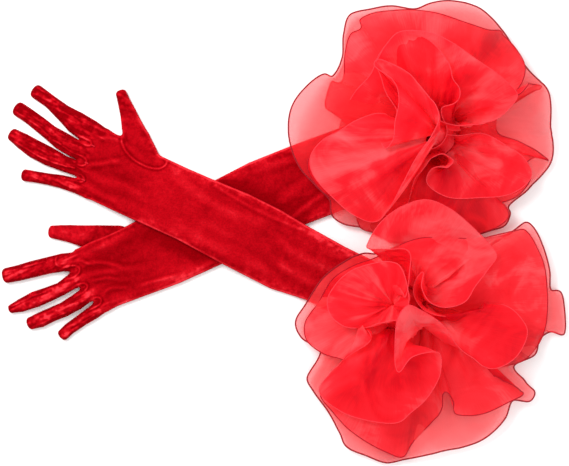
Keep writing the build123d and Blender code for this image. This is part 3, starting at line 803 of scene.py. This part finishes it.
def thread(name, colour, roughness=0.6):
    """Twisted sewing thread, a rolled hem, elastic or tape."""
    mat, tree, surface = new_material(name)
    place = tree.nodes.new("ShaderNodeTexCoord").outputs["Object"]
    twist = noise_of(tree, place, Scale=900.0, Detail=1.0)
    shade = ramp(tree, twist, [
        (0.3, tuple(c * 0.75 for c in colour)),
        (0.7, tuple(min(c * 1.15, 1.0) for c in colour)),
    ])
    set_inputs(surface, Base_Color=shade, Normal=bump_of(tree, 0.0002, Height=twist), Roughness=roughness,
               Specular_IOR_Level=0.1, Specular_Tint=(1.0, 0.2, 0.25, 1),
               Sheen_Weight=0.15, Sheen_Tint=(1.0, 0.1, 0.12, 1))
    return mat


# ---------------------------------------------------------------- gloves


def finger_joints(glove):
    """Root point and forward direction of each finger with a flex joint, in the row's frame."""
    found = {}
    for joint in frame["joints"]:
        name = joint["name"]
        if name.startswith(glove["name"]) and name.endswith("_flex"):
            ax, ay, _ = joint["axis"]
            found[joint["child"]] = (np.array(joint["pos_m"]), np.array([-ay, ax, 0.0]))
    return found


def cad_nodes(glove, *words):
    """The glove's CAD nodes whose names hold one of the words."""
    return [n for n in frame["nodes"] if n.startswith(glove["name"]) and any(w in n for w in words)]


def owners(glove, middle, with_thumb):
    """Which finger's piece each face belongs to, by the faces' middles; -1 is the hand with its sleeve."""
    local = to_glove(glove, middle)
    _, _, nearest = fingers_field(local[:, 0], local[:, 1], glove)
    owner = np.full(len(middle), -1)
    joints = finger_joints(glove)
    for k, finger in enumerate(glove["fingers"]):
        root, ahead = joints[f"{glove['name']}_{finger}"]
        owner[(nearest == k) & ((middle - root) @ ahead > PAST_ROOT)] = k
    if with_thumb:
        thumb_field, _ = chain_field(local[:, 0], local[:, 1], glove["thumb"])
        root, ahead = joints[f"{glove['name']}_thumb"]
        beside_hand = (thumb_field < 3) & (local[:, 1] > 39)
        owner[((middle - root) @ ahead > PAST_ROOT) & beside_hand] = len(glove["fingers"])
    return owner


def build_glove(glove, mat):
    """The velvet of one glove: the hand and sleeve, and a piece for each finger and thumb."""
    name = glove["name"]
    with_thumb = name == "right"

    def field_at(x, y):
        return glove_field(x, y, glove, with_thumb)[0]

    flat, cells, edge = fitted_grid(field_at, *GLOVE_SPAN, GRID)
    x, y = flat[:, 0], flat[:, 1]
    field, reach = glove_field(x, y, glove, with_thumb)
    top, bottom, tone = glove_heights(x, y, glove, field, reach)
    lift = crossing_lift(x, y) if name == "right" else under_lift(x, y)
    rim = EDGE_HEIGHT + OFF_TABLE + lift
    points, faces, tone = closed_cloth(glove, flat, cells, edge, rim, top + lift, bottom + lift, tone)
    middle = points[faces].mean(1)
    local = to_glove(glove, middle)
    owner = owners(glove, middle, with_thumb)
    mouth = np.hypot(local[:, 0] - glove["mouth"][0], local[:, 1] - glove["mouth"][1])
    is_top = np.arange(len(faces)) < len(cells)
    hole = is_top & (mouth < MOUTH_HOLE)

    trunk = make_mesh(f"{name}_hand_and_sleeve", points, faces[(owner == -1) & ~hole], mat, tone=tone)
    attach(trunk, f"{name}_hand")
    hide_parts(*cad_nodes(glove, "_panel", "gusset"))
    for k, finger in enumerate([*glove["fingers"], "thumb"] if with_thumb else glove["fingers"]):
        piece = make_mesh(f"{name}_{finger}_finger", points, faces[owner == k], mat, tone=tone)
        bend(piece, glove, finger)
    if not with_thumb:
        left_thumb(glove, mat)


def bend(piece, glove, finger):
    """Bakes a finger piece's placement into its mesh, in place of its CAD strips, which it hides."""
    name = glove["name"]
    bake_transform(piece)
    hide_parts(*cad_nodes(glove, f"{name}_{finger}_"))


def left_thumb(glove, mat):
    """The left thumb, which lies half under its hand."""

    def field_at(x, y):
        return chain_field(x, y, glove["thumb"])[0]

    flat, cells, edge = fitted_grid(field_at, *LEFT_THUMB_SPAN, GRID)
    x, y = flat[:, 0], flat[:, 1]
    field, width = chain_field(x, y, glove["thumb"])
    puff = puff_of(field, np.minimum(width * FINGER_ROUND, EDGE_ROUND))
    clear = smooth((y - 30 - 0.28 * (x + 140)) / 12)  # 1 where the thumb is free of the hand
    thick = 3.2 + 3.0 * clear
    edge_height = 1.6
    wrinkle = 0.5 * value_noise(x, y, 9, SEED) + 0.3 * value_noise(x, y, 4, SEED + 3)
    top = edge_height + (thick - edge_height) * puff + wrinkle * smooth(-field / 3) * clear
    bottom = edge_height * (1 - puff) + OFF_TABLE
    crown_highlight = np.exp(-((width + field) / (0.4 * width)) ** 2)
    # a painted highlight along the thumb's top and a painted dark line along its edge, over the pile's
    # speckle
    tone = 0.4 * speckle_of(x, y, SEED + 40) - 0.3 * welt_of(field) + 0.4 * crown_highlight - 0.12
    # painted shade where the thumb lies under the hand
    tone -= 0.6 * (1 - clear)
    rim = edge_height + OFF_TABLE
    points, faces, tone = closed_cloth(glove, flat, cells, edge, rim, top, bottom, tone)
    piece = make_mesh("left_thumb_finger", points, faces, mat, tone=tone)
    bend(piece, glove, "thumb")


# ---------------------------------------------------------------- ruffles


def wrapped(values, spread):
    """Values round a loop, smoothed over a share of it."""
    n = len(values)
    place = np.arange(n)
    place = np.minimum(place, n - place) / n
    weight = np.exp(-0.5 * (place / spread) ** 2)
    spectrum = np.fft.rfft(weight / weight.sum())
    return np.fft.irfft(np.fft.rfft(values, axis=0) * spectrum[:, None], n, axis=0)


def part_way(a, b, start, end, t):
    """The point between two others at which a value lies between a start and an end."""
    return a * (end - t) / (end - start) + b * (t - start) / (end - start)


def closed_line(points, spacing):
    """A closed smooth line through the points, with even steps."""
    p = np.array(points, float)
    out = []
    n = len(p)
    for k in range(n):
        a, b, c, d = (p[(k + j) % n] for j in (-1, 0, 1, 2))
        ta = np.linalg.norm(b - a) ** 0.5
        tb = ta + np.linalg.norm(c - b) ** 0.5
        tc = tb + np.linalg.norm(d - c) ** 0.5
        for t in ta + (tb - ta) * np.arange(16) / 16:
            bc = part_way(b, c, ta, tb, t)
            abc = part_way(part_way(a, b, 0, ta, t), bc, 0, tb, t)
            bcd = part_way(bc, part_way(c, d, tb, tc, t), ta, tc, t)
            out.append(part_way(abc, bcd, ta, tb, t))
    out = np.array(out)
    loop = np.vstack([out, out[:1]])
    along = np.concatenate([[0], np.cumsum(np.linalg.norm(np.diff(loop, axis=0), axis=1))])
    count = int(along[-1] / spacing)
    where = np.arange(count) * along[-1] / count
    return np.column_stack([np.interp(where, along, loop[:, k]) for k in range(3)])


def velvet_height(x, y):
    """The height of the gloves' own cloth in the row's frame, in millimetres."""
    ground = np.full(x.shape, 0.6)
    points = np.column_stack([x.ravel(), y.ravel(), np.zeros(x.size)]) * MM
    for glove in GLOVES.values():
        local = to_glove(glove, points)
        beyond = np.maximum(local[:, 0] - glove["mouth"][0], 0)
        side = np.hypot(local[:, 1], beyond).reshape(x.shape)
        ground = np.maximum(ground, 0.6 + (SLEEVE_THICK + 1.6) * smooth((46 - side) / 10))
    return ground


def strip_surface(spec, hem):
    """The smooth cloth of a strip, which rises from a ring at the tape and falls to the hem line."""
    count = len(hem)
    aim = wrapped(hem[:, :2] - spec["about"], spec["even"])
    turn = np.unwrap(np.arctan2(aim[:, 1], aim[:, 0]))
    step = np.maximum(np.diff(np.append(turn, turn[0] + 2 * math.pi)), 0.25 * 2 * math.pi / count)
    turn = turn[0] + np.concatenate([[0], np.cumsum(step)[:-1]]) * 2 * math.pi / step.sum()
    ring_r, ring_z = spec["ring"]
    ring = np.column_stack([ring_r * np.cos(turn), ring_r * np.sin(turn), np.full(count, ring_z)])
    soft = np.column_stack([wrapped(hem[:, :2], 0.006), wrapped(hem[:, 2:], 0.012)])
    first = ring * [spec["pinch"], spec["pinch"], 1] + [*spec["eye"], spec["rise"]]
    share, lift = spec["crest"]
    second = ring + (soft - ring) * share
    second[:, 2] = np.maximum(soft[:, 2], ring_z) * 0.6 + ring_z * 0.4 + lift
    v = np.linspace(0, 1, RUFFLE_ROWS)[None, :, None]
    return ((1 - v) ** 3 * ring[:, None] + 3 * v * (1 - v) ** 2 * first[:, None]
            + 3 * v * v * (1 - v) * second[:, None] + v ** 3 * hem[:, None])


def strip_folds(spec, u, v):
    """How high the folds of a strip stand, which run from its tape to its hem, and the tone of its cloth,
    with painted light on the folds and painted shade at the tape.
    """
    seed, deep, fine = spec["seed"], spec["deep"], spec["fine"]
    folds = deep * (loop_noise(u + 0.02 * v, v * 1.5, 13, seed) + 0.6 * loop_noise(u, v * 1.2, 27, seed + 4))
    folds = folds + 0.9 * fine * loop_noise(u + 0.01 * v, v * 2.5, 60, seed + 1)
    crease = np.abs(loop_noise(u + 0.06 * v, v * 3.2, 24, seed + 5))
    crease = np.minimum(crease, np.abs(loop_noise(u - 0.05 * v, v * 2.6, 31, seed + 6)) + 0.12)
    folds = folds + spec["crease"] * (0.35 - crease)
    # painted light: the folds' crests are lighter and their hollows darker, and painted shade darkens the
    # cloth near the tape
    tone = spec["tone"] + 0.34 * folds / max(deep, 8) - spec["shade"] * np.exp(-v * 4)
    tone = tone + 0.16 * loop_noise(u + 0.03 * v, v * 1.1, 46, seed + 7)
    folds = folds * np.minimum(1, v * 4) * (1 - 0.5 * v ** 3)
    if spec["pinch"] < 0:  # the cloth is smooth where it crosses over the mouth, and painted lighter there against the shade where it gathers
        crossing = np.exp(-((v - 0.28) / 0.17) ** 2)
        folds = folds * (1 - 0.85 * crossing)
        tone = tone + 0.16 * crossing
    folds = folds + 0.8 * fine * loop_noise(u, v * 2, 120, seed + 3) * np.exp(-v * 9)  # gathers at the tape
    return folds, np.clip(tone, 0, 1)


def ruffle_strip(glove, tier, spec, mat, hem_mat):
    """One strip of organza, gathered along one edge onto the tape, with a rolled hem along the other."""
    name = f"{glove['name']}_{tier}_ruffle"
    centre = box_centre(f"{glove['name']}_hem_band")
    hem = closed_line(spec["hem"], HEM_STEP)
    count = len(hem)
    u = np.arange(count)[:, None] / count
    v = np.linspace(0, 1, RUFFLE_ROWS)[None, :]
    folds, tone = strip_folds(spec, u, v)
    cloth = strip_surface(spec, hem)
    normal = np.cross(np.roll(cloth, -1, 0) - np.roll(cloth, 1, 0), np.gradient(cloth, axis=1))
    normal /= np.linalg.norm(normal, axis=2)[..., None] + 1e-9
    cloth = cloth + normal * folds[..., None] + [centre[0], centre[1], 0]
    ground = velvet_height(cloth[..., 0], cloth[..., 1])
    gap = cloth[..., 2] - ground
    squeezed = SOFT_GAP * np.exp(np.minimum(gap - SOFT_GAP, 0) / SOFT_GAP)
    cloth[..., 2] = ground + np.where(gap > SOFT_GAP, gap, squeezed)
    cut_width, cut_length = spec["flat"]
    uv = np.column_stack([np.repeat(u[:, 0] * cut_length, RUFFLE_ROWS), np.tile(v[0] * cut_width, count)])
    obj = make_mesh(name + "_cloth", cloth.reshape(-1, 3) * MM, loop_faces(count, RUFFLE_ROWS),
                    mat[spec["sheer"]], uv, tone.ravel())
    hem_piece = rolled_hem(name + "_hem", cloth[:, -1] * MM, HEM_RADIUS.get(tier, INNER_HEM) * MM,
                           hem_mat.get(tier, hem_mat["inner"]))
    for piece in (obj, hem_piece):
        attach(piece, f"{glove['name']}_hand")
    return obj


def rolled_hem(name, line, radius, mat):
    """A thin closed tube along the free edge of a strip."""
    ahead = np.roll(line, -1, 0) - np.roll(line, 1, 0)
    ahead /= np.linalg.norm(ahead, axis=1)[:, None] + 1e-12
    across = np.cross(ahead, [0.0, 0.0, 1.0])
    across /= np.linalg.norm(across, axis=1)[:, None] + 1e-12
    over = np.cross(across, ahead)
    rings = [line + radius * (math.cos(a) * across + math.sin(a) * over)
             for a in (2 * math.pi * k / HEM_SIDES for k in range(HEM_SIDES))]
    points = np.stack(rings, 1).reshape(-1, 3)
    return make_mesh(name, points, loop_faces(len(line), HEM_SIDES, tube=True), mat)


def build_ruffles(mat, hem_mat):
    """The rosette of each glove: strips on one tape, the lowest first."""
    for (name, tier), spec in STRIPS.items():
        cloth = ruffle_strip(GLOVES[name], tier, {**STRIP_DEFAULTS, **spec}, mat, hem_mat)
        if tier in ("lower", "upper"):
            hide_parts(f"{name}_{tier}_ruffle")


def build_mouth(glove, velvet_mat):
    """The hem band of the sleeve, which stands up inside the ruffle."""
    name = glove["name"]
    low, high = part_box(f"{name}_hem_band")
    centre = box_centre(f"{name}_hem_band")
    outer = (high[0] - low[0]) / 2 / MM
    foot, top = SLEEVE_THICK - 1.0, high[2] / MM
    profile = [(outer + 7, foot), (outer + 3.5, foot + 1.2), (outer + 0.8, foot + 4.5),
               (outer - 0.6, foot + 10), (outer - 0.4, top - 6), (outer, top - 1.2), (outer - 0.8, top),
               (outer - 2.0, top - 1.0), (outer - 2.2, top - 6), (outer - 2.6, foot + 8), (outer - 1.5, foot)]
    line = rounded(profile, 4)
    angle = np.arange(BAND_STEPS) * 2 * math.pi / BAND_STEPS
    pleat = 0.45 * np.sin(angle * 26) + 0.3 * np.sin(angle * 11 + 1)
    points = []
    for r, z in line:
        bulge = pleat * (1 if r > outer - 1.5 else 0.5)
        points.append(np.column_stack([centre[0] + (r + bulge) * np.cos(angle),
                                       centre[1] + (r + bulge) * np.sin(angle), np.full(BAND_STEPS, z)]))
    points = np.vstack(points) * MM
    here = np.arange(len(line) * BAND_STEPS).reshape(len(line), BAND_STEPS)
    beside = np.roll(here, -1, 1)
    faces = np.stack([here[:-1], here[1:], beside[1:], beside[:-1]], -1).reshape(-1, 4)
    band = make_mesh(f"{name}_hem_band_cloth", points, faces, velvet_mat)
    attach(band, f"{name}_hand")
    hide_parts(f"{name}_hem_band")


# ---------------------------------------------------------------- the small CAD pieces that stay


def dress_cad():
    """Gives the CAD nodes that stay their own materials."""
    looks = {
        "stitches": thread("red_thread", (0.5, 0.01, 0.02)),
        "tacks": thread("tack_thread", (0.5, 0.01, 0.02)),
        "elastic": thread("covered_elastic", (0.42, 0.02, 0.03), 0.7),
        "tape": thread("woven_tape", (0.55, 0.015, 0.025), 0.8),
    }
    for node, obj in frame["nodes"].items():
        for word, mat in looks.items():
            if word in node:
                obj.data.materials.clear()
                obj.data.materials.append(mat)


# ---------------------------------------------------------------- camera, light and floor

VIEW_CENTRE = (0.0049, -0.0004)  # all in metres
VIEW_WIDTH = 0.5975
VIEW_DISTANCE = 2.0
FLOOR_HALF = 4.0  # half the width of the floor


def set_stage():
    """A plain pale floor, soft light from above and a camera that looks straight down."""
    camera = bpy.data.cameras.new("camera")
    camera.lens = camera.sensor_width * VIEW_DISTANCE / VIEW_WIDTH
    holder = add_object("camera", camera)
    holder.location = (*VIEW_CENTRE, VIEW_DISTANCE)
    bpy.context.scene.camera = holder

    world = bpy.data.worlds.new("studio")
    bpy.context.scene.world = world
    world.use_nodes = True
    set_inputs(world.node_tree.nodes["Background"], Color=(1, 1, 1, 1), Strength=0.8)

    def softbox(name, place, size, power):
        light = bpy.data.lights.new(name, "AREA")
        light.shape = "RECTANGLE"
        light.size, light.size_y = size
        light.energy = power
        obj = add_object(name, light)
        obj.location = place
        yaw = math.atan2(-place[1], -place[0])
        pitch = math.acos(place[2] / np.linalg.norm(place))
        obj.rotation_euler = (0, -pitch, yaw)

    softbox("key", (-0.9, 0.9, 1.3), (0.8, 0.8), 27)
    softbox("fill", (1.1, -0.6, 1.4), (1.0, 1.0), 8)

    floor_mesh = bpy.data.meshes.new("floor")
    corners = [(-FLOOR_HALF, -FLOOR_HALF, 0), (FLOOR_HALF, -FLOOR_HALF, 0),
               (FLOOR_HALF, FLOOR_HALF, 0), (-FLOOR_HALF, FLOOR_HALF, 0)]
    floor_mesh.from_pydata(corners, [], [(0, 1, 2, 3)])
    floor = add_object("floor", floor_mesh)
    floor.location.z = -0.0006  # just below the cloth
    mat, _, surface = new_material("pale_floor")
    set_inputs(surface, Base_Color=(0.97, 0.97, 0.97, 1), Roughness=0.8, Specular_IOR_Level=0.1)
    floor.data.materials.append(mat)
    bpy.context.scene.view_settings.view_transform = "Standard"


# ---------------------------------------------------------------- build

for each in GLOVES.values():
    set_origin(each)
velvet_mat = velvet()
# the light ends of these ramps colour the painted highlights on the folds' crests, and the dark ends the
# painted shade in their hollows and at the tape
organza_mat = [
    organza("outer_organza", 0.66, [(0.1, (0.86, 0.015, 0.025)), (0.5, (1.0, 0.03, 0.04)),
                                    (0.9, (1.0, 0.07, 0.08))]),
    organza("inner_organza", 0.79, [(0.1, (0.60, 0.000, 0.010)), (0.38, (0.90, 0.008, 0.020)),
                                    (0.62, (1.0, 0.022, 0.038)), (0.95, (1.0, 0.130, 0.150))]),
]
hem_mat = {
    "lower": thread("outer_hem_thread", (0.30, 0.014, 0.022)),
    "middle": thread("middle_hem_thread", (0.46, 0.010, 0.020)),
    "inner": thread("inner_hem_thread", (0.85, 0.05, 0.07)),
}
for each in GLOVES.values():
    build_glove(each, velvet_mat)
    build_mouth(each, velvet_mat)
build_ruffles(organza_mat, hem_mat)
dress_cad()
set_stage()
